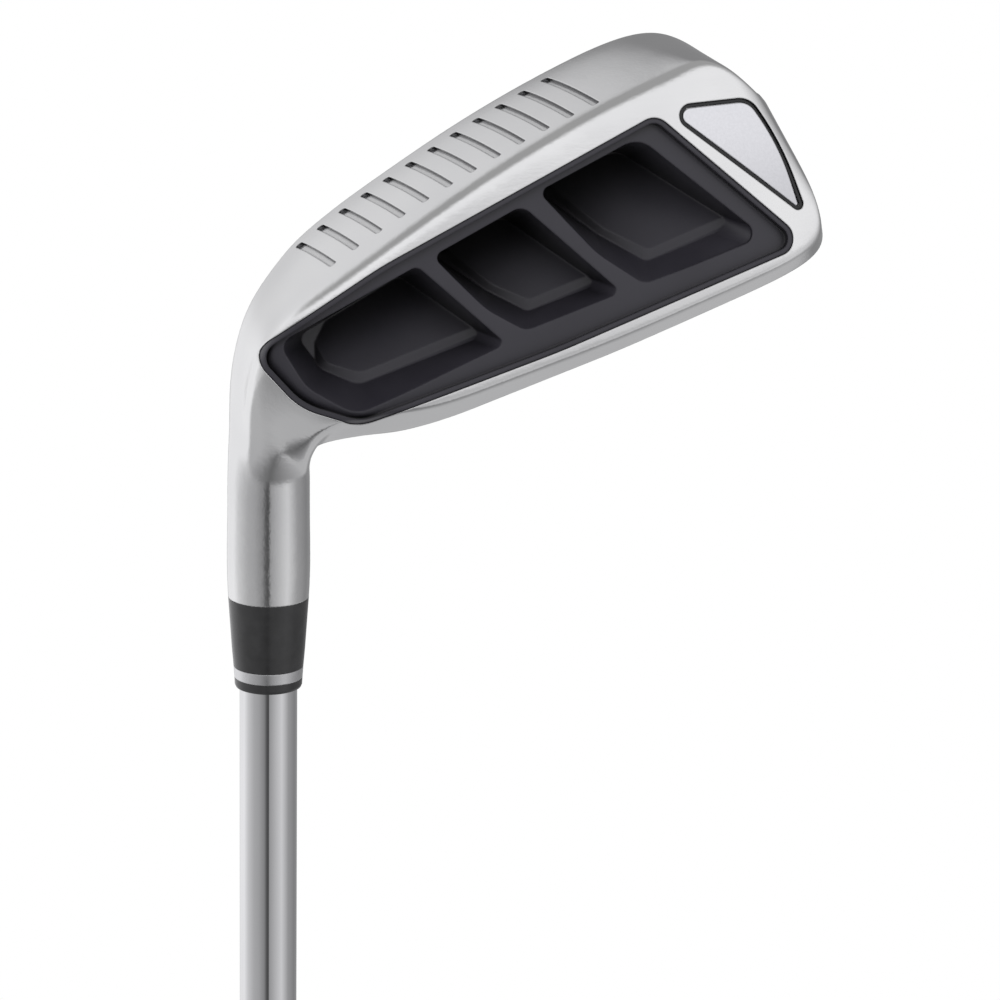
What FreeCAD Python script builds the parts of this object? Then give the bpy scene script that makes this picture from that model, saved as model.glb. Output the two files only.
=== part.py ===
import FreeCAD, Part
import Sketcher
import math
import os

from FreeCAD import Vector

# A left-handed cavity-back golf iron.
# Frame: the origin is the centre of the grip's butt, +Z runs along the shaft to the head,
# +X points toward the toe and -Y toward the back of the head. Millimetres.

doc = FreeCAD.newDocument("golf_iron")

# ---------------------------------------------------------------- driving dimensions
SIZES = (
    ("club_length", 895, "butt to the ground, along the shaft axis"),
    ("lie_angle", 62, "shaft to ground, seen from the front"),
    ("face_loft", 45, "strike face from upright"),
    ("hosel_height", 55.6, "ground to the hosel mouth, along the shaft axis"),
    ("hosel_radius", 6.62, "fullest place of the hosel"),
    ("hosel_mouth_radius", 6.42, "hosel where the ferrule sits"),
    ("bore_depth", 20.5, "shaft bore from the hosel mouth"),
    ("glue_gap", 0.1, "epoxy between the shaft tip and the bore"),
    ("blade_reach", 77.6, "shaft axis at the ground to the toe, along the ground"),
    ("toe_height", 50, "face height at the toe, along the face"),
    ("topline_thickness", 4.7, "top edge of the blade, square to the face"),
    ("leading_edge_forward", 5.5, "leading edge ahead of the shaft axis"),
    ("sole_width", 27.5, "leading edge to trailing edge"),
    ("sole_radius", 260, "heel-to-toe camber of the sole"),
    ("face_thickness", 2.4, "cast metal behind the strike face"),
    ("face_skim", 0.05, "milled off the cast face to make it flat"),
    ("slot_count", 12, "slots across the sole"),
    ("slot_first", 5.15, "first slot from the shaft axis"),
    ("slot_pitch", 4.32, "from slot to slot"),
    ("slot_front", -1.5, "slots' front ends behind the shaft axis"),
    ("slot_length_heel", 16.6, "slot nearest the heel, front to back"),
    ("slot_length_toe", 21.3, "slot nearest the toe, front to back"),
    ("slot_width", 1.25, "slot across"),
    ("slot_depth", 0.5, "slot below the sole"),
    ("groove_count", 13, "score lines in the strike face"),
    ("groove_first", 5.5, "lowest score line above the leading edge, along the face"),
    ("groove_pitch", 3.3, "from score line to score line"),
    ("groove_width", 0.85, "score line across"),
    ("groove_depth", 0.35, "score line into the face"),
    ("groove_heel_end", 9, "score lines' heel end from the shaft axis"),
    ("groove_toe_end", 60, "score lines' toe end from the shaft axis"),
    ("fit_gap", 0.1, "around each bonded-in piece"),
    ("tape_thickness", 0.25, "double-sided tape under a bonded-in piece"),
    ("insert_floor", 0.7, "thinnest floor of the cavity insert"),
    ("panel_rise", 0.6, "raised panel on each pocket floor"),
    ("panel_inset", 0.2, "foot of the panel from the pocket's wall"),
    ("panel_bevel", 1.1, "panel's sloping side, across"),
    ("rim_drop", 0.15, "insert rim below the head's surface"),
    ("frame_drop", 1.7, "insert frame below the head's surface"),
    ("rim_wall", 0.75, "insert rim around the frame"),
    ("badge_depth", 1.6, "toe badge seat below the head's surface"),
    ("trim_width", 0.62, "black surround of the toe badge"),
    ("trim_drop", 0.3, "surround below the head's surface"),
    ("shaft_tip_radius", 4.6, "parallel tip"),
    ("shaft_butt_radius", 7.62, "butt of the shaft"),
    ("shaft_wall", 0.52, "steel tube"),
    ("shaft_steps", 16, "step-downs along the shaft"),
    ("step_first", 250, "shaft tip to the first step"),
    ("step_pitch", 34, "from step to step"),
    ("step_slope", 1.2, "length of each step's cone"),
    ("ferrule_height", 11.5, "black cone above the hosel"),
    ("ferrule_end_radius", 5.58, "thin end of the black cone"),
    ("ring_height", 1.8, "metal ring"),
    ("ring_end_radius", 5.45, "thin end of the metal ring"),
    ("collar_height", 1.7, "black collar"),
    ("collar_end_radius", 5.38, "thin end of the collar"),
    ("collar_round", 0.5, "rounding of the collar's end"),
    ("weight_flange", 1.5, "tip weight's flange under the shaft tip"),
    ("weight_stem", 14, "tip weight's stem inside the shaft"),
    ("grip_length", 266, "grip without its cap"),
    ("grip_butt_radius", 13.4, "grip beside the cap"),
    ("grip_mouth_radius", 8.3, "grip's thin end"),
    ("grip_tape_thickness", 0.3, "tape between shaft and grip"),
    ("cap_radius", 15.2, "grip cap"),
    ("cap_thickness", 4, "grip cap"),
    ("cap_plug_length", 9, "cap's hollow plug inside the shaft"),
    ("cap_plug_bore", 4, "radius of the plug's hollow"),
    ("vent_radius", 1.6, "vent hole through the cap's end"),
    ("vent_length", 3, "vent hole, from the end face to the plug's hollow"),
)
sheet = doc.addObject("Spreadsheet::Sheet", "sizes")
for line, (alias, value, note) in enumerate(SIZES, start=1):
    sheet.set(f"A{line}", note)
    sheet.set(f"B{line}", str(value))
    sheet.setAlias(f"B{line}", alias)
doc.recompute()


def size(alias):
    return float(sheet.get(alias))


# ---------------------------------------------------------------- frames of the head
def frame(origin, x_axis, y_axis):
    z_axis = x_axis.cross(y_axis)
    return FreeCAD.Placement(origin, FreeCAD.Rotation(x_axis, y_axis, z_axis, "XYZ"))


lie = math.radians(size("lie_angle"))
loft = math.radians(size("face_loft"))

# The club at address: x runs along the ground to the toe, y to the back, z up from the ground.
# Its origin is where the shaft axis meets the ground.
address = frame(
    Vector(0, 0, size("club_length")),
    Vector(math.sin(lie), 0, math.cos(lie)),
    Vector(0, -1, 0),
)
EDGE_LIFT = 1.5
leading_edge = Vector(0, -size("leading_edge_forward"), EDGE_LIFT)
# The strike face: x along the ground, y up the face, z out of the face.
face_frame = address.multiply(
    frame(leading_edge, Vector(1, 0, 0), Vector(0, math.sin(loft), math.cos(loft)))
)
# The back of the blade: x along the ground, y up the back, z into the metal.
BACK_TILT = math.radians(18)
trailing_edge = Vector(0, leading_edge.y + size("sole_width"), -0.3)
back_origin = trailing_edge + Vector(0, 0.5, 3.3)
back_frame = address.multiply(
    frame(back_origin, Vector(1, 0, 0), Vector(0, math.sin(BACK_TILT), math.cos(BACK_TILT)))
)

# Every outline of the head is drawn for a blade of this reach and toe height,
# and stretched to the sizes in the sheet.
DRAWN_REACH = 77.6
DRAWN_HEIGHT = 50.0
stretch = size("blade_reach") / DRAWN_REACH
rise = size("toe_height") / DRAWN_HEIGHT


def on_face(along, height, behind=0.0):
    """A point of the face frame, in address coordinates."""
    up = Vector(0, math.sin(loft), math.cos(loft))
    inward = Vector(0, math.cos(loft), -math.sin(loft))
    return leading_edge + Vector(along * stretch, 0, 0) + up * (height * rise) + inward * behind


def on_back(along, height, inward=0.0):
    """A point of the back frame, in address coordinates."""
    up = Vector(0, math.sin(BACK_TILT), math.cos(BACK_TILT))
    into = Vector(0, -math.cos(BACK_TILT), math.sin(BACK_TILT))
    return back_origin + Vector(along * stretch, 0, 0) + up * (height * rise) + into * inward


# ---------------------------------------------------------------- the head's outer surface
# The surface is a cubic net. Each row of poles goes once around the head: leading edge, sole,
# trailing edge, back, topline and face. Three close poles make each rounded edge.
POLES_AROUND = 18
ROUNDING = (1.4, 2.6, 1.3, 1.0)
BACK_POLES = range(5, 11)
CREST_POLES = range(12, 15)
FACE_POLES = range(15, 18)


def toward(start, end, distance):
    return start + (end - start).normalize() * distance


def between(start, end, share):
    return start + (end - start) * share


def row_around(lead, trail, top_back, top_face, rounding=ROUNDING, belly=0.0):
    """One row of poles through the four edges of a section; belly rounds the sole downward."""
    lead_round, trail_round, back_round, face_round = rounding
    sole_front = between(lead, trail, 0.30) + Vector(0, 0, -belly)
    sole_rear = between(lead, trail, 0.66) + Vector(0, 0, -0.9 * belly)
    return [
        toward(lead, top_face, lead_round),
        lead,
        toward(lead, sole_front, lead_round),
        sole_front,
        sole_rear,
        toward(trail, sole_rear, trail_round),
        trail,
        toward(trail, top_back, trail_round),
        between(trail, top_back, 0.35),
        between(trail, top_back, 0.68),
        toward(top_back, trail, back_round),
        top_back,
        toward(top_back, top_face, back_round),
        toward(top_face, top_back, face_round),
        top_face,
        toward(top_face, lead, face_round),
        between(top_face, lead, 0.36),
        between(top_face, lead, 0.68),
    ]


# Blade rows from heel to toe: place along the ground, face height, topline beyond its own
# thickness, trailing edge ahead of the sole's width, lift of the leading and trailing edges,
# and metal filled in front of the face where it flows into the neck.
BLADE_ROWS = (
    (-6.0, 33.8, 2.8, 2.5, 1.7, -0.5, 0.0),
    (0.0, 37.3, 2.0, 1.2, 0.2, -0.3, 4.5),
    (5.0, 39.5, 1.5, 0.8, -0.4, -0.1, 1.0),
    (10.0, 40.9, 1.0, 0.4, -0.4, 0.0, 0.0),
    (16.0, 42.1, 0.7, 0.1, -0.3, 0.0, 0.0),
    (25.0, 43.9, 0.3, 0.0, 0.0, 0.0, 0.0),
    (36.0, 46.2, 0.1, 0.0, 0.0, 0.0, 0.0),
    (48.0, 48.1, 0.0, 0.0, 0.0, 0.1, 0.0),
    (58.0, 49.7, 0.0, 0.0, 0.0, 0.3, 0.0),
    (66.0, 50.8, 0.1, 0.2, 0.0, 0.8, 0.0),
)
CAMBER_LOWEST = 40.0
SOLE_BELLY = 1.0
LEAD_ABOVE_LOWEST = 0.2


def blade_row(along, height, extra_top, ahead, lead_lift, trail_lift, filled):
    camber = ((along - CAMBER_LOWEST) * stretch) ** 2 / (2 * size("sole_radius"))
    lead_up = LEAD_ABOVE_LOWEST + camber + lead_lift
    lead = leading_edge + Vector(along * stretch, 0, 0)
    lead = lead + Vector(0, math.tan(loft), 1) * (lead_up - EDGE_LIFT)
    trail = trailing_edge + Vector(along * stretch, -ahead, camber + trail_lift)
    top_face = on_face(along, height)
    top_back = on_face(along, height, size("topline_thickness") + extra_top)
    row = row_around(lead, trail, top_back, top_face, belly=SOLE_BELLY)
    out_of_face = Vector(0, -math.cos(loft), math.sin(loft))
    for k in FACE_POLES:
        row[k] = row[k] + out_of_face * filled
    return row


# Toe rows: leading and trailing edge, back and face edge of the topline.
# Front edges are (along, height, behind) on the face, rear ones (along, height, inward) on the back.
TOE_ROWS = (
    ((73.3, 2.3, 0.0), (71.2, -1.2, 0.0), (72.2, 32.8, 0.0), (73.1, 50.5, 0.0), ROUNDING),
    ((76.9, 8.2, 0.0), (74.6, 4.2, 0.0), (74.5, 28.8, 0.0), (75.6, 44.8, 0.0), (1.2, 2.0, 1.2, 1.0)),
    ((77.9, 17.0, 1.5), (76.5, 12.0, 1.5), (75.8, 22.3, 1.2), (76.5, 36.5, 1.2), (1.0, 1.2, 0.8, 0.8)),
)
TOE_TIP = (77.6, 25.5, 8.0)

# Hosel rings: distance from the ground along the shaft axis, and how much of the step from the
# mouth's radius to the fullest radius.
HOSEL_RINGS = ((55.6, 0.0), (53.6, 0.6), (50.0, 1.1), (45.5, 0.8), (41.0, 0.45))
# The neck turns from the shaft's direction to the blade's about this point, in (x, z) from the
# ground point. Each row of it: share of the turn, and how far its edges, its front, its back and
# its crest have become blade.
NECK_PIVOT = (10.3, -36.0)
NECK_ROWS = (
    (0.0, 0.0, 0.0, 0.0, 0.0),
    (0.24, 0.03, 0.0, 0.05, 0.02),
    (0.48, 0.15, 0.03, 0.25, 0.10),
    (0.74, 0.5, 0.2, 0.68, 0.38),
    (1.0, 1.0, 0.55, 1.0, 0.9),
)


def ring_row(radius):
    """Poles of a circle of that radius, as (outward, back) pairs from its centre."""
    step = 2 * math.pi / POLES_AROUND
    pole_radius = radius * 3 / (2 + math.cos(step))
    start = math.radians(140)
    return [
        (pole_radius * math.sin(start - step * k), pole_radius * math.cos(start - step * k))
        for k in range(POLES_AROUND)
    ]


def head_rows(sink=0.0):
    """All rows of the net in world coordinates, with the surface sunk inward by about sink."""
    ground = Vector(0, 0, size("club_length"))
    fullest = size("hosel_radius")
    mouth = size("hosel_mouth_radius")
    rows = []
    for height, share in HOSEL_RINGS:
        z = -height - size("hosel_height") + HOSEL_RINGS[0][0]
        radius = mouth + (fullest - mouth) * share - sink
        rows.append([ground + Vector(-out, -back, z) for out, back in ring_row(radius)])
    blade = [blade_row(*values) for values in BLADE_ROWS]
    pivot = ground + Vector(NECK_PIVOT[0], 0, NECK_PIVOT[1])
    neck_ring = ring_row(fullest - 0.5 * (fullest - mouth) - sink)
    first_blade = [address.multVec(pole) for pole in sunk_row(blade[0], sink)]
    up_blade = address.Rotation.multVec(Vector(0, 0, 1))
    blade_pairs = [(-(pole - pivot).dot(up_blade), -pole.y) for pole in first_blade]
    for share, edge_bladed, front_bladed, back_bladed, crest_bladed in NECK_ROWS:
        turn = share * lie
        outward = Vector(-math.cos(turn), 0, math.sin(turn))
        row = []
        for k in range(POLES_AROUND):
            weight = edge_bladed
            if k in BACK_POLES:
                weight = back_bladed
            if k in FACE_POLES:
                weight = front_bladed
            if k in CREST_POLES:
                weight = crest_bladed
            ring_out = NECK_PIVOT[0] + neck_ring[k][0]
            out = ring_out + (blade_pairs[k][0] - ring_out) * weight
            back = neck_ring[k][1] + (blade_pairs[k][1] - neck_ring[k][1]) * weight
            row.append(pivot + outward * out + Vector(0, -back, 0))
        rows.append(row)
    for row in blade[1:]:
        rows.append([address.multVec(pole) for pole in sunk_row(row, sink)])
    for lead, trail, top_back, top_face, rounding in TOE_ROWS:
        row = row_around(
            on_face(*lead), on_back(*trail), on_back(*top_back), on_face(*top_face), rounding
        )
        rows.append([address.multVec(pole) for pole in sunk_row(row, sink, sink)])
    tip = on_face(*TOE_TIP) + Vector(-sink, 0, 0)
    rows.append([address.multVec(tip)] * POLES_AROUND)
    return rows


def sunk_row(row, sink, heelward=0.0):
    """The row moved inward by about sink, square to itself in its own plane."""
    if sink == 0:
        return row
    count = len(row)
    moved = []
    for k, pole in enumerate(row):
        side = row[(k + 1) % count] - row[k - 1]
        inward = Vector(0, -side.z, side.y).normalize()
        moved.append(pole + inward * sink + Vector(-heelward, 0, 0))
    return moved


def net_solid(rows):
    """The closed solid of the net: the rounded surface and the flat hosel mouth."""
    count = len(rows)
    spans = count - 3
    row_knots = [0.0] + [k / spans for k in range(1, spans)] + [1.0]
    row_mults = [4] + [1] * (spans - 1) + [4]
    around_knots = [k / POLES_AROUND for k in range(POLES_AROUND + 1)]
    around_mults = [1] * (POLES_AROUND + 1)
    surface = Part.BSplineSurface()
    surface.buildFromPolesMultsKnots(
        rows, row_mults, around_mults, row_knots, around_knots, False, True, 3, 3
    )
    skin = surface.toShape()
    mouth_edge = min(skin.Edges, key=lambda edge: edge.BoundBox.ZMax + edge.BoundBox.ZLength * 1000)
    mouth = Part.Face(Part.Wire([mouth_edge]))
    solid = Part.Solid(Part.makeShell([skin, mouth]))
    solid.fix(1e-6, 1e-6, 1e-6)
    return solid


# ---------------------------------------------------------------- outlines and tools
def rounded_outline(corners):
    """Closed wire in the XY plane through (x, y, radius) corners, with an arc at each corner."""
    arcs = []
    for k, (x, y, radius) in enumerate(corners):
        corner = Vector(x, y, 0)
        after = corners[(k + 1) % len(corners)]
        to_before = (Vector(corners[k - 1][0], corners[k - 1][1], 0) - corner).normalize()
        to_after = (Vector(after[0], after[1], 0) - corner).normalize()
        half = to_before.getAngle(to_after) / 2
        reach = radius / math.tan(half)
        bulge = radius / math.sin(half) - radius
        middle = corner + (to_before + to_after).normalize() * bulge
        arcs.append((corner + to_before * reach, middle, corner + to_after * reach))
    edges = []
    for k, (start, middle, end) in enumerate(arcs):
        edges.append(Part.Arc(start, middle, end).toShape())
        edges.append(Part.LineSegment(end, arcs[(k + 1) % len(arcs)][0]).toShape())
    return Part.Wire(edges)


def stretched(corners):
    return [(x * stretch, y * rise, radius) for x, y, radius in corners]


def prism(wire, place, start, end):
    """The solid swept by a flat outline from start to end along the frame's z."""
    face = Part.Face(wire)
    face.translate(Vector(0, 0, start))
    solid = face.extrude(Vector(0, 0, end - start))
    solid.Placement = place.multiply(solid.Placement)
    return solid


def grown(wire, distance):
    """The outline moved outward, or inward where distance is negative."""
    return wire.makeOffset2D(distance)


def half_space(place):
    """A box that fills everything on the minus-z side of a frame."""
    reach = 2 * size("blade_reach")
    box = Part.makeBox(2 * reach, 2 * reach, reach, Vector(-reach, -reach, -reach))
    box.Placement = place.multiply(box.Placement)
    return box


HEEL_FLOOR_POINT = Vector(-12.0, 0, 12.2)
HEEL_FLOOR_SLOPE = 0.28


def cavity_room(depth):
    """Everything deeper than depth behind the face, and above the rising floor at the heel."""
    behind = half_space(face_frame.multiply(FreeCAD.Placement(Vector(0, 0, -depth), FreeCAD.Rotation())))
    rise_back = HEEL_FLOOR_POINT + Vector(0, 0, size("face_thickness") - depth)
    tilt = FreeCAD.Rotation(Vector(0, 1, 0), -math.degrees(math.atan(HEEL_FLOOR_SLOPE)))
    above = half_space(back_frame.multiply(FreeCAD.Placement(rise_back, tilt)))
    return behind.common(above)


def feature(name, shape):
    made = doc.addObject("Part::Feature", name)
    made.Shape = shape
    return made


OUTSIDE = -40.0
THROUGH = 60.0
MILLED_FROM = 8.0

CAVITY_OUTLINE = (
    (-13.3, 0.9, 3.4),
    (10.0, 0.0, 60.0),
    (59.5, 2.5, 3.0),
    (69.8, 32.2, 2.8),
    (27.3, 25.8, 150.0),
    (-4.9, 19.4, 7.5),
    (-10.8, 12.4, 12.0),
)
BADGE_OUTLINE = (
    (60.4, 1.75, 2.0),
    (73.9, 8.0, 3.6),
    (74.6, 16.3, 40.0),
    (71.95, 29.4, 1.0),
)
# Each pocket: rim corners and floor corners in the back frame, and the rim plane's depth at the
# pocket's toe side and its slope toward the heel.
POCKETS = (
    (
        ((-8.6, 1.9, 2.2), (15.3, 2.9, 1.6), (22.0, 22.2, 0.8), (-4.6, 17.6, 5.0), (-8.9, 10.2, 5.0)),
        ((-3.0, 3.2, 2.0), (14.6, 3.4, 1.4), (19.8, 18.0, 1.2), (-0.8, 14.2, 3.0), (-4.2, 9.0, 3.0)),
        14.0,
        0.2,
    ),
    (
        ((18.0, 2.9, 1.2), (34.2, 3.6, 2.4), (40.9, 23.5, 1.0), (24.0, 20.9, 2.6), (20.6, 14.2, 14.0)),
        ((21.0, 3.4, 1.2), (33.5, 4.0, 2.0), (39.3, 20.6, 1.2), (27.6, 18.4, 1.6), (24.4, 12.4, 6.0)),
        100.0,
        0.0,
    ),
    (
        ((37.5, 3.1, 1.2), (55.6, 4.2, 4.2), (64.5, 27.6, 1.8), (44.2, 24.1, 2.6), (40.4, 16.0, 14.0)),
        ((40.6, 3.6, 1.2), (54.8, 4.6, 3.4), (62.4, 24.0, 2.0), (47.6, 21.6, 1.6), (44.0, 14.0, 6.0)),
        100.0,
        0.0,
    ),
)


def floor_corners(corners, depth):
    """Back-frame corners carried along the back frame's z to the plane depth behind the face."""
    carried = []
    into = back_frame.Rotation.multVec(Vector(0, 0, 1))
    out_of_face = face_frame.Rotation.multVec(Vector(0, 0, 1))
    for x, y, radius in stretched(corners):
        start = back_frame.multVec(Vector(x, y, 0))
        ahead = (face_frame.Base - start).dot(out_of_face) - depth
        end = start + into * (ahead / into.dot(out_of_face))
        local = face_frame.inverse().multVec(end)
        carried.append((local.x, local.y, radius))
    return carried


PANEL_OVERRUN = 3.0


def panel_corners(corners, inset):
    """A floor's corners drawn inward on its heel and top sides, and run out past its sole and toe."""
    sole_heel, sole_toe, top_toe, top_heel, heel = corners
    return [
        (sole_heel[0] + inset, sole_heel[1] - PANEL_OVERRUN, sole_heel[2]),
        (sole_toe[0] + PANEL_OVERRUN, sole_toe[1] - PANEL_OVERRUN, sole_toe[2]),
        (top_toe[0] + PANEL_OVERRUN, top_toe[1] - inset, top_toe[2]),
        (top_heel[0] + inset, top_heel[1] - inset, top_heel[2]),
        (heel[0] + inset, heel[1], heel[2]),
    ]


def placed(wire, place):
    moved = wire.copy()
    moved.Placement = place.multiply(moved.Placement)
    return moved


def pocket_tool(rim, floor, toe_side, slope):
    """What one pocket takes out of the insert: drafted walls, and a raised panel left on its floor."""
    tilt = math.atan(slope)
    hinge = Vector(toe_side * stretch, 0, size("frame_drop"))
    if slope == 0:
        hinge = Vector(0, 0, size("frame_drop"))
    rim_place = back_frame.multiply(
        FreeCAD.Placement(hinge, FreeCAD.Rotation(Vector(0, 1, 0), math.degrees(tilt)))
    )
    shifted = [((x - hinge.x) / math.cos(tilt), y, radius) for x, y, radius in stretched(rim)]
    rim_wire = rounded_outline(shifted)
    above = rim_place.multiply(FreeCAD.Placement(Vector(0, 0, -4), FreeCAD.Rotation()))
    floor_depth = size("face_thickness") + size("tape_thickness") + size("insert_floor")
    floor_local = floor_corners(floor, floor_depth)
    floor_place = face_frame.multiply(
        FreeCAD.Placement(Vector(0, 0, -floor_depth), FreeCAD.Rotation())
    )
    wires = [
        placed(rim_wire, above),
        placed(rim_wire, rim_place),
        placed(rounded_outline(floor_local), floor_place),
    ]
    tool = Part.makeLoft(wires, True, True)
    panel_top = face_frame.multiply(
        FreeCAD.Placement(Vector(0, 0, -floor_depth - size("panel_rise")), FreeCAD.Rotation())
    )
    foot = panel_corners(floor_local, size("panel_inset"))
    crown = panel_corners(floor_local, size("panel_inset") + size("panel_bevel"))
    panel_wires = [
        placed(rounded_outline(foot), floor_place),
        placed(rounded_outline(crown), panel_top),
    ]
    return tool.cut(Part.makeLoft(panel_wires, True, True))


# ---------------------------------------------------------------- the head
skin = feature("head_skin", net_solid(head_rows()))

bore = doc.addObject("Part::Cylinder", "shaft_bore")
bore.setExpression("Radius", "sizes.shaft_tip_radius + sizes.glue_gap")
bore.setExpression("Height", "sizes.bore_depth")
bore.setExpression("Placement.Base.z", "sizes.club_length - sizes.hosel_height")

cavity_wire = rounded_outline(stretched(CAVITY_OUTLINE))
cavity_prism = prism(cavity_wire, back_frame, OUTSIDE, THROUGH)
cavity = feature("cavity", cavity_prism.common(cavity_room(size("face_thickness"))))

badge_wire = rounded_outline(stretched(BADGE_OUTLINE))
badge_seat = feature("badge_seat", prism(badge_wire, back_frame, -3, size("badge_depth")))


def sole_slots():
    half_width = size("slot_width") / 2
    corner = 0.75 * half_width
    front = size("slot_front")
    count = int(size("slot_count"))
    growth = (size("slot_length_toe") - size("slot_length_heel")) / (count - 1)
    prisms = []
    for k in range(count):
        rear = front + size("slot_length_heel") + k * growth
        along = size("slot_first") + k * size("slot_pitch")
        camber = (along - CAMBER_LOWEST * stretch) ** 2 / (2 * size("sole_radius"))
        outline = rounded_outline(
            (
                (along - half_width, front, corner),
                (along + half_width, front, corner),
                (along + half_width, rear, corner),
                (along - half_width, rear, corner),
            )
        )
        prisms.append(prism(outline, address, camber - 4, camber + 2))
    core = net_solid(head_rows(size("slot_depth")))
    return Part.makeCompound([slot.cut(core) for slot in prisms])


def face_mill():
    """Everything in front of the flat strike face, from the end of the neck's blend to the toe."""
    reach = 2 * size("blade_reach")
    box = Part.makeBox(reach, reach, reach, Vector(MILLED_FROM * stretch, -reach / 4, -size("face_skim")))
    box.Placement = face_frame.multiply(box.Placement)
    return box


def score_lines():
    lines = []
    heel = size("groove_heel_end")
    length = size("groove_toe_end") - heel
    width = size("groove_width")
    depth = size("groove_depth") + size("face_skim")
    for k in range(int(size("groove_count"))):
        height = size("groove_first") + k * size("groove_pitch")
        line_box = Part.makeBox(length, width, 2 * depth, Vector(heel, height - width / 2, -depth))
        line_box.Placement = face_frame.multiply(line_box.Placement)
        lines.append(line_box)
    return Part.makeCompound(lines)


slots = feature("sole_slots", sole_slots())
mill = feature("face_mill", face_mill())
lines = feature("score_lines", score_lines())


def cut(name, base, tool):
    made = doc.addObject("Part::Cut", name)
    made.Base = base
    made.Tool = tool
    return made


bored = cut("bored_head", skin, bore)
hollowed = cut("hollowed_head", bored, cavity)
seated = cut("seated_head", hollowed, badge_seat)
slotted = cut("slotted_head", seated, slots)
milled = cut("milled_head", slotted, mill)
head = cut("head", milled, lines)
doc.recompute()


# ---------------------------------------------------------------- the cavity insert
def core_body(drop):
    """The head's outer form, sunk all round by about drop."""
    return net_solid(head_rows(drop))


def carried_body(drop):
    """The head's outer form, carried straight in from the back by drop."""
    into = back_frame.Rotation.multVec(Vector(0, 0, 1)) * drop
    return net_solid([[pole + into for pole in row] for row in head_rows()])


def insert_tray():
    """Tray that fills the cavity: a thin rim, a recessed frame with two struts, three pockets."""
    outer = grown(cavity_wire, -size("fit_gap"))
    inner = grown(cavity_wire, -size("fit_gap") - size("rim_wall"))
    seat_depth = size("face_thickness") + size("tape_thickness")
    block = prism(outer, back_frame, OUTSIDE, THROUGH).common(cavity_room(seat_depth))
    block = block.common(core_body(size("rim_drop")))
    frame_core = carried_body(size("frame_drop"))
    tray = block.cut(prism(inner, back_frame, OUTSIDE, THROUGH).cut(frame_core))
    floor = cavity_room(seat_depth + size("insert_floor"))
    for pocket in POCKETS:
        tray = tray.cut(pocket_tool(*pocket).common(floor))
    return tray


def floor_tape():
    """Sheet of tape between the tray and the metal behind the face."""
    sheet_prism = prism(grown(cavity_wire, -2.0), back_frame, OUTSIDE, THROUGH)
    layer = sheet_prism.common(cavity_room(size("face_thickness")))
    layer = layer.cut(cavity_room(size("face_thickness") + size("tape_thickness")))
    return layer.common(core_body(size("frame_drop")))


insert = feature("cavity_insert", insert_tray())
insert_tape = feature("insert_tape", floor_tape())


# ---------------------------------------------------------------- the toe badge
DOME_RADIUS = 150.0
DOME_CENTRE = (68.5, 13.5)


def badge_trim_ring():
    """Black surround that lines the badge seat."""
    outer = prism(grown(badge_wire, -size("fit_gap")), back_frame, -3, size("badge_depth"))
    inner = prism(grown(badge_wire, -size("trim_width")), back_frame, -4, size("badge_depth") + 1)
    return outer.cut(inner).common(core_body(size("trim_drop")))


def badge_plate():
    """Almond plate with a slightly domed top."""
    outline = grown(badge_wire, -size("trim_width") - size("fit_gap"))
    plate = prism(outline, back_frame, -3, size("badge_depth") - size("tape_thickness"))
    centre = Vector(DOME_CENTRE[0] * stretch, DOME_CENTRE[1] * rise, DOME_RADIUS)
    dome = Part.makeSphere(DOME_RADIUS, back_frame.multVec(centre))
    return plate.common(dome)


def badge_tape_sheet():
    outline = grown(badge_wire, -size("trim_width") - 3 * size("fit_gap"))
    depth = size("badge_depth")
    return prism(outline, back_frame, depth - size("tape_thickness"), depth)


badge_trim = feature("badge_trim", badge_trim_ring())
toe_badge = feature("toe_badge", badge_plate())
badge_tape = feature("badge_tape", badge_tape_sheet())


# ---------------------------------------------------------------- turned pieces
def turned(name, seat, points):
    """A body turned about the shaft axis. Its points are (radius, height) expressions, with the
    height measured toward the grip from the seat, which is a z in the club's frame."""
    body = doc.addObject("PartDesign::Body", name)
    body.Placement = FreeCAD.Placement(Vector(), FreeCAD.Rotation(Vector(1, 0, 0), 180))
    body.setExpression("Placement.Base.z", seat)
    sketch = body.newObject("Sketcher::SketchObject", f"{name}_profile")
    plane = next(item for item in body.Origin.OriginFeatures if item.Role == "XZ_Plane")
    sketch.AttachmentSupport = [(plane, "")]
    sketch.MapMode = "FlatFace"
    corners = []
    for radius, height in points:
        corners.append(Vector(float(sheet.evalExpression(radius)), float(sheet.evalExpression(height)), 0))
    count = len(corners)
    for k in range(count):
        sketch.addGeometry(Part.LineSegment(corners[k], corners[(k + 1) % count]), False)
    for k, (radius, height) in enumerate(points):
        sketch.addConstraint(Sketcher.Constraint("Coincident", k, 2, (k + 1) % count, 1))
        bind(sketch, k, "DistanceX", corners[k].x, radius)
        bind(sketch, k, "DistanceY", corners[k].y, height)
    turn = body.newObject("PartDesign::Revolution", f"{name}_turn")
    turn.Profile = sketch
    turn.ReferenceAxis = (sketch, ["V_Axis"])
    turn.Angle = 360
    return body


def bind(sketch, line, kind, value, expression):
    """Hold a line's start at a distance from the sketch's origin, or on its axis for zero."""
    if value == 0:
        axis = -2 if kind == "DistanceX" else -1
        sketch.addConstraint(Sketcher.Constraint("PointOnObject", line, 1, axis))
        return
    made = sketch.addConstraint(Sketcher.Constraint(kind, -1, 1, line, 1, value))
    label = f"{kind}_{line}"
    sketch.renameConstraint(made, label)
    sketch.setExpression(f"Constraints.{label}", expression)


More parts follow.
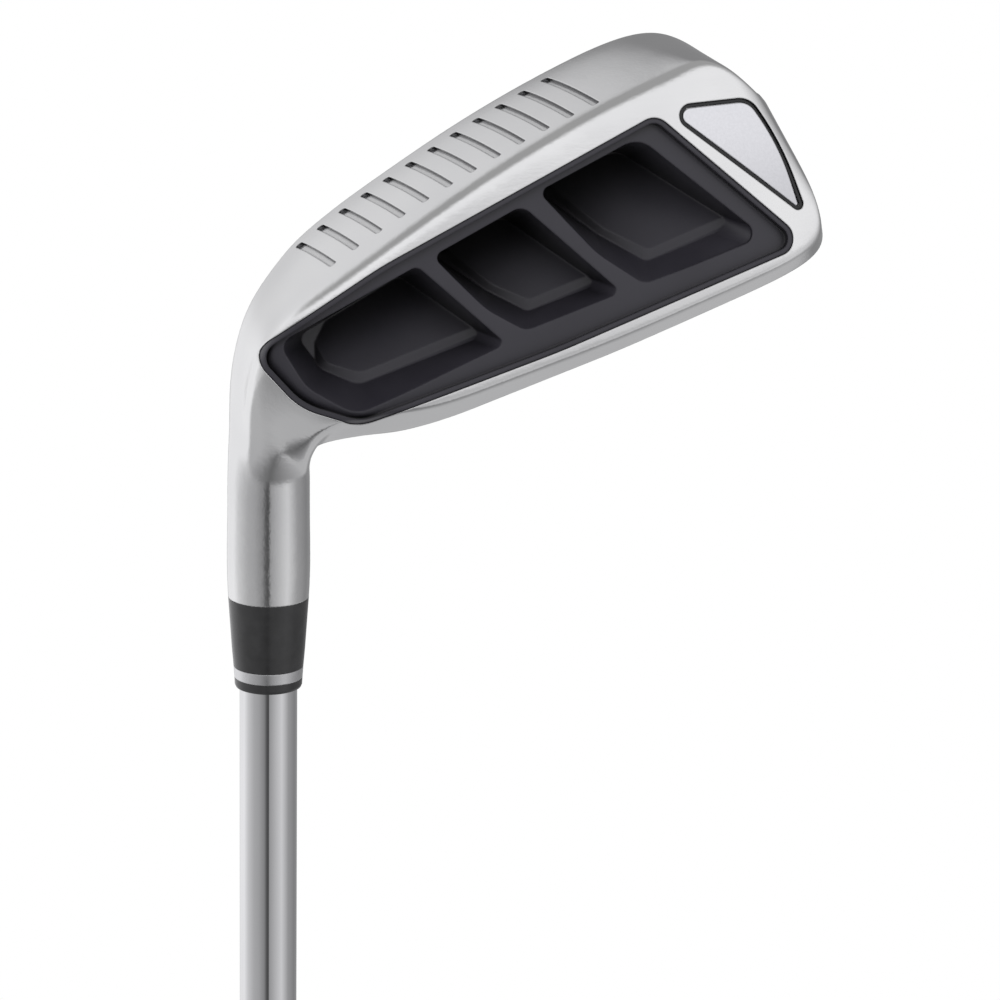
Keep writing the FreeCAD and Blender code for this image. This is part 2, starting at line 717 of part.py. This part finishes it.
MOUTH = "sizes.club_length - sizes.hosel_height"
TIP = "sizes.shaft_tip_radius"
BORE_END = f"{MOUTH} + sizes.bore_depth"
SHAFT_TIP = f"{BORE_END} - sizes.weight_flange"
SHAFT_LENGTH = f"({SHAFT_TIP} - sizes.cap_thickness)"

ferrule_upper = turned(
    "ferrule_upper",
    MOUTH,
    (
        (TIP, "0"),
        ("sizes.hosel_mouth_radius", "0"),
        ("sizes.hosel_mouth_radius * 0.31 + sizes.ferrule_end_radius * 0.69", "sizes.ferrule_height * 0.74"),
        ("sizes.ferrule_end_radius", "sizes.ferrule_height"),
        (TIP, "sizes.ferrule_height"),
    ),
)
ferrule_ring = turned(
    "ferrule_ring",
    f"{MOUTH} - sizes.ferrule_height",
    (
        (TIP, "0"),
        ("sizes.ferrule_end_radius", "0"),
        ("sizes.ring_end_radius", "sizes.ring_height"),
        (TIP, "sizes.ring_height"),
    ),
)
ferrule_collar = turned(
    "ferrule_collar",
    f"{MOUTH} - sizes.ferrule_height - sizes.ring_height",
    (
        (TIP, "0"),
        ("sizes.ring_end_radius", "0"),
        ("sizes.collar_end_radius", "sizes.collar_height - sizes.collar_round"),
        (
            "sizes.collar_end_radius - sizes.collar_round * 0.3",
            "sizes.collar_height - sizes.collar_round * 0.3",
        ),
        ("sizes.collar_end_radius - sizes.collar_round", "sizes.collar_height"),
        (TIP, "sizes.collar_height"),
    ),
)
hosel_epoxy = turned(
    "hosel_epoxy",
    SHAFT_TIP,
    (
        (TIP, "0"),
        (f"{TIP} + sizes.glue_gap", "0"),
        (f"{TIP} + sizes.glue_gap", "sizes.bore_depth - sizes.weight_flange"),
        (TIP, "sizes.bore_depth - sizes.weight_flange"),
    ),
)
tip_weight = turned(
    "tip_weight",
    BORE_END,
    (
        ("0", "0"),
        (TIP, "0"),
        (TIP, "sizes.weight_flange"),
        (f"{TIP} - sizes.shaft_wall - sizes.fit_gap", "sizes.weight_flange"),
        (f"{TIP} - sizes.shaft_wall - sizes.fit_gap", "sizes.weight_flange + sizes.weight_stem"),
        ("0", "sizes.weight_flange + sizes.weight_stem"),
    ),
)


def step_radius(steps):
    return f"{TIP} + (sizes.shaft_butt_radius - {TIP}) * {steps} / sizes.shaft_steps"


def step_height(step):
    return f"sizes.step_first + sizes.step_pitch * {step}"


def shaft_points():
    """Up the outside from the tip, and back down inside the wall."""
    outside = [(TIP, "0")]
    for k in range(int(size("shaft_steps"))):
        outside.append((step_radius(k), step_height(k)))
        outside.append((step_radius(k + 1), f"{step_height(k)} + sizes.step_slope"))
    outside.append(("sizes.shaft_butt_radius", SHAFT_LENGTH))
    inside = [(f"{radius} - sizes.shaft_wall", height) for radius, height in reversed(outside)]
    return outside + inside


shaft = turned("shaft", SHAFT_TIP, shaft_points())

# The grip and its tape follow a cone laid over the crests of the steps, and the butt above them.
LAST_STEP = f"({step_height('(sizes.shaft_steps - 1)')} + sizes.step_slope)"
GRIP_MOUTH = f"({SHAFT_LENGTH} - sizes.grip_length)"
CREST_RADIUS = (
    f"sizes.shaft_butt_radius - (sizes.shaft_butt_radius - {TIP}) / sizes.shaft_steps"
    f" * ({LAST_STEP} - {GRIP_MOUTH}) / sizes.step_pitch"
)
TAPE = "sizes.grip_tape_thickness"

grip_tape = turned(
    "grip_tape",
    SHAFT_TIP,
    (
        (CREST_RADIUS, GRIP_MOUTH),
        (f"{CREST_RADIUS} + {TAPE}", GRIP_MOUTH),
        (f"sizes.shaft_butt_radius + {TAPE}", LAST_STEP),
        (f"sizes.shaft_butt_radius + {TAPE}", SHAFT_LENGTH),
        ("sizes.shaft_butt_radius", SHAFT_LENGTH),
        ("sizes.shaft_butt_radius", LAST_STEP),
    ),
)


def grip_radius(share):
    return f"sizes.grip_mouth_radius + (sizes.grip_butt_radius - sizes.grip_mouth_radius) * {share}"


def grip_height(share):
    return f"{GRIP_MOUTH} + sizes.grip_length * {share}"


grip = turned(
    "grip",
    SHAFT_TIP,
    (
        (f"{CREST_RADIUS} + {TAPE}", GRIP_MOUTH),
        (grip_radius(-0.06), GRIP_MOUTH),
        (grip_radius(0), grip_height(0.006)),
        (grip_radius(0.31), grip_height(0.45)),
        (grip_radius(0.7), grip_height(0.83)),
        (grip_radius(1), SHAFT_LENGTH),
        (f"sizes.shaft_butt_radius + {TAPE}", SHAFT_LENGTH),
        (f"sizes.shaft_butt_radius + {TAPE}", LAST_STEP),
    ),
)
PLUG_RADIUS = "sizes.shaft_butt_radius - sizes.shaft_wall - sizes.fit_gap"
grip_cap = turned(
    "grip_cap",
    "sizes.cap_thickness",
    (
        ("sizes.cap_plug_bore", "-sizes.cap_plug_length"),
        (PLUG_RADIUS, "-sizes.cap_plug_length"),
        (PLUG_RADIUS, "0"),
        ("sizes.cap_radius * 0.93", "0"),
        ("sizes.cap_radius", "sizes.cap_thickness * 0.28"),
        ("sizes.cap_radius", "sizes.cap_thickness * 0.6"),
        ("sizes.cap_radius * 0.9", "sizes.cap_thickness * 0.93"),
        ("sizes.cap_radius * 0.7", "sizes.cap_thickness"),
        ("sizes.vent_radius", "sizes.cap_thickness"),
        ("sizes.vent_radius", "sizes.cap_thickness - sizes.vent_length"),
        ("sizes.cap_plug_bore", "sizes.cap_thickness - sizes.vent_length"),
    ),
)
doc.recompute()

# ---------------------------------------------------------------- checks and files
NODES = (
    head,
    insert,
    insert_tape,
    toe_badge,
    badge_trim,
    badge_tape,
    ferrule_upper,
    ferrule_ring,
    ferrule_collar,
    hosel_epoxy,
    tip_weight,
    shaft,
    grip_tape,
    grip,
    grip_cap,
)
for item in doc.Objects:
    if "Invalid" in item.State or "Error" in item.State:
        raise RuntimeError(f"{item.Label} did not build: {item.State}")
if bore.Shape.cut(skin.Shape).Volume > 0.01:
    raise RuntimeError("the shaft bore breaks out of the neck")

os.makedirs("parts", exist_ok=True)
for node in NODES:
    shape = node.Shape
    if shape.isNull() or not shape.isValid() or len(shape.Solids) != 1:
        raise RuntimeError(f"{node.Label} is not one valid solid")
    shape.exportStep(f"parts/{node.Label}.step")
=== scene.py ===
import math

import bpy
from mathutils import Matrix, Vector

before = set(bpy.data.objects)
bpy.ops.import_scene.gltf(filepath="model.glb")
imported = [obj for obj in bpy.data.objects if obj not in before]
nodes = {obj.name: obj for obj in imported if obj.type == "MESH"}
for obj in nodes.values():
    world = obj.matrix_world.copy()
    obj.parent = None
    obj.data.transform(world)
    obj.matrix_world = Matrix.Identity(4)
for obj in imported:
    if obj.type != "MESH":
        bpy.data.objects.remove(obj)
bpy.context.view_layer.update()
print("loaded", len(nodes), "nodes")


def deselectAll():
    bpy.ops.object.select_all(action="DESELECT")


# camera
cameraSettings = {
    "aim": (0.039515, 0.0, 0.851614),
    "azimuth": -22.209,
    "elevation": 15.499,
    "roll": 0.837,
    "distance": 0.760,
    "lens": 169.51,
    "sensor": 36.0,
    "nearest": 0.01,
    "farthest": 50.0,
}


def placeCamera(settings):
    azimuth = math.radians(settings["azimuth"])
    elevation = math.radians(settings["elevation"])
    back = Vector(
        (
            math.sin(azimuth) * math.cos(elevation),
            -math.cos(azimuth) * math.cos(elevation),
            math.sin(elevation),
        )
    )
    spot = Vector(settings["aim"]) + back * settings["distance"]
    bpy.ops.object.camera_add(location=spot)
    camera = bpy.context.object
    camera.rotation_mode = "QUATERNION"
    turn = back.to_track_quat("Z", "Y")
    rolled = turn.to_matrix() @ Matrix.Rotation(math.radians(settings["roll"]), 3, "Z")
    camera.rotation_quaternion = rolled.to_quaternion()
    camera.data.lens = settings["lens"]
    camera.data.sensor_width = settings["sensor"]
    camera.data.clip_start = settings["nearest"]
    camera.data.clip_end = settings["farthest"]
    bpy.context.scene.camera = camera


placeCamera(cameraSettings)
print("camera placed")

# studio: pale floor, white background, a light tent with grey panels and two soft lamps
studioSettings = {
    "floorRadius": 1.9,
    "floorCorners": 96,
    "floorDrop": 0.0006,
    "floorColor": (0.86, 0.86, 0.86, 1.0),
    "floorRoughness": 0.9,
    "floorSpecular": 0.1,
    "tentSpot": (0.0, 0.0, 0.85),
    "tentRadius": 0.84,
    "tentSegments": 64,
    "tentRings": 32,
    # how much bluer than neutral the panels are
    "panelBlue": 1.015,
    # heights on the tent, as shares of its radius, over which one row of panels gives way to the next
    "underToLow": (-0.62, -0.45),
    "lowToHigh": (-0.1, 0.12),
    "highToUpper": (0.2, 0.44),
    "upperToCeiling": (0.6, 0.9),
    # brightness around the tent, from the back (0) through +X, the front and -X:
    # toward the floor, a little below the head's height, a little above it, and high up
    "underPanels": (
        (0.00, 0.50),
        (0.20, 0.52),
        (0.34, 0.38),
        (0.55, 0.16),
        (0.62, 0.24),
        (0.80, 0.50),
        (1.00, 0.50),
    ),
    "lowPanels": (
        (0.00, 0.80),
        (0.05, 0.34),
        (0.20, 0.26),
        (0.31, 0.38),
        (0.40, 0.74),
        (0.52, 0.42),
        (0.543, 0.36),
        (0.549, 0.07),
        (0.572, 0.10),
        (0.60, 0.28),
        (0.66, 0.42),
        (0.72, 0.48),
        (0.80, 0.68),
        (0.87, 0.97),
        (1.00, 0.90),
    ),
    "highPanels": (
        (0.00, 0.70),
        (0.03, 0.60),
        (0.05, 0.26),
        (0.18, 0.24),
        (0.30, 0.42),
        (0.42, 0.74),
        (0.53, 0.72),
        (0.56, 0.30),
        (0.60, 0.30),
        (0.68, 0.52),
        (0.80, 0.72),
        (0.90, 0.86),
        (1.00, 0.70),
    ),
    "upperPanels": (
        (0.00, 0.76),
        (0.03, 0.64),
        (0.06, 0.26),
        (0.20, 0.30),
        (0.32, 0.60),
        (0.42, 0.96),
        (0.56, 1.00),
        (0.68, 0.88),
        (0.85, 0.95),
        (1.00, 0.76),
    ),
    "ceiling": 0.40,
    "keySpot": (-0.9, -1.3, 2.0),
    "keySize": 1.0,
    "keyPower": 7.0,
    "fillSpot": (1.4, 0.7, 1.7),
    "fillSize": 1.2,
    "fillPower": 5.0,
    # the world's grey as a light, where it isn't seen as the white background
    "worldGrey": 0.6,
}


def addFloor(settings):
    deselectAll()
    bpy.ops.mesh.primitive_circle_add(
        vertices=settings["floorCorners"],
        radius=settings["floorRadius"],
        fill_type="NGON",
        location=(0, 0, -settings["floorDrop"]),
    )
    floor = bpy.context.object
    floor.name = "studioFloor"
    material = bpy.data.materials.new("paleFloor")
    material.use_nodes = True
    shader = material.node_tree.nodes["Principled BSDF"]
    shader.inputs["Base Color"].default_value = settings["floorColor"]
    shader.inputs["Roughness"].default_value = settings["floorRoughness"]
    shader.inputs["Specular IOR Level"].default_value = settings["floorSpecular"]
    floor.data.materials.append(material)


def addLamp(name, spot, size, power, target):
    bpy.ops.object.light_add(type="AREA", location=spot)
    lamp = bpy.context.object
    lamp.name = name
    lamp.data.shape = "DISK"
    lamp.data.size = size
    lamp.data.energy = power
    lamp.rotation_euler = (Vector(spot) - Vector(target)).to_track_quat("Z", "Y").to_euler()
    lamp.visible_camera = False
    lamp.visible_glossy = False


def addPanels(tree, around, stops, blue):
    ramp = tree.nodes.new("ShaderNodeValToRGB")
    elements = ramp.color_ramp.elements
    for k, (spot, level) in enumerate(stops):
        stop = elements[k] if k < 2 else elements.new(spot)
        stop.position = spot
        stop.color = (level, level, level * blue, 1.0)
    tree.links.new(around, ramp.inputs["Fac"])
    return ramp.outputs["Color"]


def blend(tree, factor, first):
    mix = tree.nodes.new("ShaderNodeMix")
    mix.data_type = "RGBA"
    tree.links.new(factor, mix.inputs["Factor"])
    tree.links.new(first, mix.inputs["A"])
    return mix


def rangeOf(tree, value, low, high):
    ranged = tree.nodes.new("ShaderNodeMapRange")
    ranged.interpolation_type = "SMOOTHSTEP"
    ranged.inputs["From Min"].default_value = low
    ranged.inputs["From Max"].default_value = high
    tree.links.new(value, ranged.inputs["Value"])
    return ranged.outputs["Result"]


def buildTent(settings):
    deselectAll()
    bpy.ops.mesh.primitive_uv_sphere_add(
        segments=settings["tentSegments"],
        ring_count=settings["tentRings"],
        radius=settings["tentRadius"],
        location=settings["tentSpot"],
    )
    tent = bpy.context.object
    tent.name = "studioTent"
    tent.visible_camera = False
    tent.visible_diffuse = False
    tent.visible_shadow = False
    material = bpy.data.materials.new("tentPanels")
    material.use_nodes = True
    tree = material.node_tree
    tree.nodes.clear()
    place = tree.nodes.new("ShaderNodeTexCoord")
    direction = tree.nodes.new("ShaderNodeVectorMath")
    direction.operation = "NORMALIZE"
    parts = tree.nodes.new("ShaderNodeSeparateXYZ")
    angle = tree.nodes.new("ShaderNodeMath")
    angle.operation = "ARCTAN2"
    turn = tree.nodes.new("ShaderNodeMath")
    turn.operation = "MULTIPLY_ADD"
    turn.inputs[1].default_value = 1 / (2 * math.pi)
    turn.inputs[2].default_value = 1.0
    around = tree.nodes.new("ShaderNodeMath")
    around.operation = "FRACT"
    glow = tree.nodes.new("ShaderNodeEmission")
    out = tree.nodes.new("ShaderNodeOutputMaterial")
    link = tree.links.new
    link(place.outputs["Object"], direction.inputs[0])
    link(direction.outputs["Vector"], parts.inputs[0])
    link(parts.outputs["X"], angle.inputs[0])
    link(parts.outputs["Y"], angle.inputs[1])
    link(angle.outputs[0], turn.inputs[0])
    link(turn.outputs[0], around.inputs[0])
    rows = (
        ("underToLow", "lowPanels"),
        ("lowToHigh", "highPanels"),
        ("highToUpper", "upperPanels"),
    )
    blue = settings["panelBlue"]
    height = parts.outputs["Z"]
    glowing = addPanels(tree, around.outputs[0], settings["underPanels"], blue)
    for step, panels in rows:
        above = addPanels(tree, around.outputs[0], settings[panels], blue)
        mix = blend(tree, rangeOf(tree, height, *settings[step]), glowing)
        link(above, mix.inputs["B"])
        glowing = mix.outputs["Result"]
    whole = blend(tree, rangeOf(tree, height, *settings["upperToCeiling"]), glowing)
    whole.inputs["B"].default_value = (settings["ceiling"],) * 3 + (1.0,)
    link(whole.outputs["Result"], glow.inputs["Color"])
    link(glow.outputs[0], out.inputs["Surface"])
    tent.data.materials.append(material)


def whiteBackground(grey):
    world = bpy.data.worlds.new("whiteBackground")
    bpy.context.scene.world = world
    world.use_nodes = True
    tree = world.node_tree
    tree.nodes.clear()
    rays = tree.nodes.new("ShaderNodeLightPath")
    seen = tree.nodes.new("ShaderNodeMath")
    seen.operation = "MAXIMUM"
    shown = tree.nodes.new("ShaderNodeMath")
    shown.operation = "MAXIMUM"
    soft = tree.nodes.new("ShaderNodeBackground")
    soft.inputs["Color"].default_value = (grey, grey, grey, 1)
    white = tree.nodes.new("ShaderNodeBackground")
    white.inputs["Color"].default_value = (1, 1, 1, 1)
    choice = tree.nodes.new("ShaderNodeMixShader")
    out = tree.nodes.new("ShaderNodeOutputWorld")
    link = tree.links.new
    link(rays.outputs["Is Camera Ray"], seen.inputs[0])
    link(rays.outputs["Is Glossy Ray"], seen.inputs[1])
    link(seen.outputs[0], shown.inputs[0])
    link(rays.outputs["Is Transmission Ray"], shown.inputs[1])
    link(shown.outputs[0], choice.inputs["Fac"])
    link(soft.outputs[0], choice.inputs[1])
    link(white.outputs[0], choice.inputs[2])
    link(choice.outputs[0], out.inputs["Surface"])


addFloor(studioSettings)
buildTent(studioSettings)
whiteBackground(studioSettings["worldGrey"])
for lampName in ("key", "fill"):
    addLamp(
        lampName + "Lamp",
        studioSettings[lampName + "Spot"],
        studioSettings[lampName + "Size"],
        studioSettings[lampName + "Power"],
        cameraSettings["aim"],
    )
bpy.context.scene.view_settings.view_transform = "Standard"
print("studio built")


# finishes
bevelSamples = 6
hollowSamples = 8


def newFinish(name):
    material = bpy.data.materials.new(name)
    material.use_nodes = True
    return material, material.node_tree, material.node_tree.nodes["Principled BSDF"]


def addNoise(tree, scale, detail, stretch=(1, 1, 1), turn=(0, 0, 0)):
    place = tree.nodes.new("ShaderNodeTexCoord")
    mapping = tree.nodes.new("ShaderNodeMapping")
    mapping.inputs["Scale"].default_value = stretch
    mapping.inputs["Rotation"].default_value = turn
    noise = tree.nodes.new("ShaderNodeTexNoise")
    noise.inputs["Scale"].default_value = scale
    noise.inputs["Detail"].default_value = detail
    tree.links.new(place.outputs["Object"], mapping.inputs["Vector"])
    tree.links.new(mapping.outputs["Vector"], noise.inputs["Vector"])
    return noise


def spread(tree, source, low, high, fromLow=0.3, fromHigh=0.7):
    ranged = tree.nodes.new("ShaderNodeMapRange")
    ranged.inputs["From Min"].default_value = fromLow
    ranged.inputs["From Max"].default_value = fromHigh
    ranged.inputs["To Min"].default_value = low
    ranged.inputs["To Max"].default_value = high
    tree.links.new(source, ranged.inputs["Value"])
    return ranged.outputs["Result"]


def addBump(tree, shader, height, strength, distance, edge=0.0):
    bump = tree.nodes.new("ShaderNodeBump")
    bump.inputs["Strength"].default_value = strength
    bump.inputs["Distance"].default_value = distance
    tree.links.new(height, bump.inputs["Height"])
    if edge > 0:
        rounded = tree.nodes.new("ShaderNodeBevel")
        rounded.samples = bevelSamples
        rounded.inputs["Radius"].default_value = edge
        tree.links.new(rounded.outputs["Normal"], bump.inputs["Normal"])
    tree.links.new(bump.outputs["Normal"], shader.inputs["Normal"])


def tint(tree, factor, first, second):
    mix = tree.nodes.new("ShaderNodeMix")
    mix.data_type = "RGBA"
    mix.inputs["A"].default_value = (*first, 1.0)
    mix.inputs["B"].default_value = (*second, 1.0)
    tree.links.new(factor, mix.inputs["Factor"])
    return mix.outputs["Result"]


def paintShadeInHollows(tree, reach, closed, clear, paintedShadeColour, shown):
    # painted shade: ambient occlusion darkens the colour from shown to a dark shade colour in hollows,
    # slots and gaps between parts, standing in for the shade that falls there
    hollow = tree.nodes.new("ShaderNodeAmbientOcclusion")
    hollow.samples = hollowSamples
    hollow.only_local = True
    hollow.inputs["Distance"].default_value = reach
    mix = tree.nodes.new("ShaderNodeMix")
    mix.data_type = "RGBA"
    tree.links.new(rangeOf(tree, hollow.outputs["AO"], closed, clear), mix.inputs["Factor"])
    mix.inputs["A"].default_value = (*paintedShadeColour, 1.0)
    tree.links.new(shown, mix.inputs["B"])
    return mix.outputs["Result"]


headSteel = {
    "pale": (0.81, 0.81, 0.81),
    "dim": (0.76, 0.76, 0.765),
    # painted shade: a dark grey painted by ambient occlusion into the sole slots and the gaps at the
    # insert and badge borders
    "creviceShade": (0.16, 0.16, 0.165),
    "creviceShadeReach": 0.0011,
    "creviceShadeRange": (0.55, 0.92),
    "smooth": 0.10,
    "rough": 0.17,
    "streaks": 1300.0,
    "streakStretch": (0.05, 1.0, 1.0),
    # the brushing runs along the blade, which leans by the complement of the lie
    "streakTurn": (0, math.radians(28), 0),
    "clouds": 60.0,
    "grain": 2600.0,
    "bumpStrength": 0.14,
    "bumpHeight": 0.0001,
    "edge": 0.0003,
}


def makeHeadSteel(settings):
    material, tree, shader = newFinish("headSteel")
    shader.inputs["Metallic"].default_value = 1.0
    streaks = addNoise(
        tree, settings["streaks"], 4.0, settings["streakStretch"], settings["streakTurn"]
    )
    clouds = addNoise(tree, settings["clouds"], 2.0)
    steel = tint(tree, spread(tree, clouds.outputs[0], 0, 1), settings["dim"], settings["pale"])
    # painted shade in the slots and gaps between parts, laid over the steel's own tone
    colourWithPaintedShade = paintShadeInHollows(
        tree, settings["creviceShadeReach"], *settings["creviceShadeRange"], settings["creviceShade"], steel
    )
    tree.links.new(colourWithPaintedShade, shader.inputs["Base Color"])
    tree.links.new(
        spread(tree, streaks.outputs[0], settings["smooth"], settings["rough"]),
        shader.inputs["Roughness"],
    )
    grain = addNoise(tree, settings["grain"], 2.0)
    worn = tree.nodes.new("ShaderNodeMath")
    worn.operation = "ADD"
    tree.links.new(streaks.outputs[0], worn.inputs[0])
    tree.links.new(grain.outputs[0], worn.inputs[1])
    addBump(
        tree,
        shader,
        worn.outputs[0],
        settings["bumpStrength"],
        settings["bumpHeight"],
        settings["edge"],
    )
    return material


insertPolymer = {
    "low": (0.033, 0.031, 0.041),
    "high": (0.040, 0.038, 0.049),
    # painted shade: near-black painted by ambient occlusion into the insert's pockets, darkest on their
    # deep sole side
    "deepShade": (0.002, 0.002, 0.002),
    "deepShadeReach": 0.016,
    "deepShadeRange": (0.12, 0.8),
    "smooth": 0.32,
    "rough": 0.42,
    "specular": 0.5,
    "clouds": 120.0,
    "grain": 4000.0,
    "bumpStrength": 0.12,
    "bumpHeight": 0.00005,
    "edge": 0.0005,
}


def makeInsertPolymer(settings):
    material, tree, shader = newFinish("insertPolymer")
    shader.inputs["Specular IOR Level"].default_value = settings["specular"]
    grain = addNoise(tree, settings["grain"], 2.0)
    clouds = addNoise(tree, settings["clouds"], 2.0)
    frameTone = tint(tree, spread(tree, clouds.outputs[0], 0, 1), settings["low"], settings["high"])
    # painted shade in the pockets, laid over the frame's own tone
    colourWithPaintedShade = paintShadeInHollows(
        tree, settings["deepShadeReach"], *settings["deepShadeRange"], settings["deepShade"], frameTone
    )
    tree.links.new(colourWithPaintedShade, shader.inputs["Base Color"])
    tree.links.new(
        spread(tree, clouds.outputs[0], settings["smooth"], settings["rough"]),
        shader.inputs["Roughness"],
    )
    addBump(
        tree,
        shader,
        grain.outputs[0],
        settings["bumpStrength"],
        settings["bumpHeight"],
        settings["edge"],
    )
    return material


def makePlain(name, settings):
    # a metal or a plastic whose tone and gloss vary a little with one fine noise
    material, tree, shader = newFinish(name)
    shader.inputs["Metallic"].default_value = settings["metallic"]
    fine = addNoise(tree, settings["scale"], 3.0, settings.get("stretch", (1, 1, 1)))
    first, second = (tuple(share * part for part in settings["color"]) for share in settings["shares"])
    tree.links.new(
        tint(tree, spread(tree, fine.outputs[0], 0, 1), first, second),
        shader.inputs["Base Color"],
    )
    smooth, rough = settings["roughness"]
    tree.links.new(spread(tree, fine.outputs[0], smooth, rough), shader.inputs["Roughness"])
    addBump(tree, shader, fine.outputs[0], settings["bump"], plainBumpHeight, settings.get("edge", 0.0))
    return material


def dress(nodeNames, material):
    for nodeName in nodeNames:
        slots = nodes[nodeName].material_slots
        for slot in slots:
            slot.material = material
        if len(slots) == 0:
            nodes[nodeName].data.materials.append(material)


plainBumpHeight = 0.00005
metal = {"metallic": 1.0, "shares": (0.94, 1), "bump": 0.03}
plastic = {"metallic": 0.0, "shares": (1, 1.35), "bump": 0.02, "scale": 500.0}

badgeMetal = {
    **metal,
    "color": (0.78, 0.78, 0.81),
    "roughness": (0.10, 0.13),
    "scale": 2500.0,
    "edge": 0.0003,
}
trimBlack = {
    **plastic,
    "color": (0.006, 0.006, 0.007),
    "roughness": (0.16, 0.24),
    "edge": 0.0003,
}
ferruleBlack = {
    **plastic,
    "color": (0.028, 0.028, 0.029),
    "roughness": (0.16, 0.24),
    "edge": 0.0002,
}
ringMetal = {
    **metal,
    "color": (0.74, 0.74, 0.75),
    "roughness": (0.26, 0.34),
    "scale": 900.0,
    "edge": 0.0002,
}
shaftSteel = {
    **metal,
    "color": (0.80, 0.80, 0.81),
    "roughness": (0.035, 0.06),
    "scale": 300.0,
    "stretch": (1, 1, 0.1),
}
weightBrass = {
    **metal,
    "color": (0.80, 0.60, 0.28),
    "roughness": (0.25, 0.4),
    "scale": 500.0,
}
epoxy = {**plastic, "color": (0.42, 0.37, 0.26), "roughness": (0.2, 0.3)}
bondingTape = {**plastic, "color": (0.28, 0.28, 0.28), "roughness": (0.7, 0.8)}
gripTape = {**plastic, "color": (0.62, 0.58, 0.48), "roughness": (0.8, 0.9)}
gripRubber = {**plastic, "color": (0.018, 0.018, 0.019), "roughness": (0.55, 0.7)}

dress(("head",), makeHeadSteel(headSteel))
dress(("cavity_insert",), makeInsertPolymer(insertPolymer))
dress(("toe_badge",), makePlain("badgeMetal", badgeMetal))
dress(("badge_trim",), makePlain("trimBlack", trimBlack))
dress(("ferrule_upper", "ferrule_collar"), makePlain("ferruleBlack", ferruleBlack))
dress(("ferrule_ring",), makePlain("ringMetal", ringMetal))
dress(("shaft",), makePlain("shaftSteel", shaftSteel))
dress(("tip_weight",), makePlain("weightBrass", weightBrass))
dress(("hosel_epoxy",), makePlain("epoxy", epoxy))
dress(("insert_tape", "badge_tape"), makePlain("bondingTape", bondingTape))
dress(("grip_tape",), makePlain("gripTape", gripTape))
dress(("grip", "grip_cap"), makePlain("gripRubber", gripRubber))
print("finishes made")
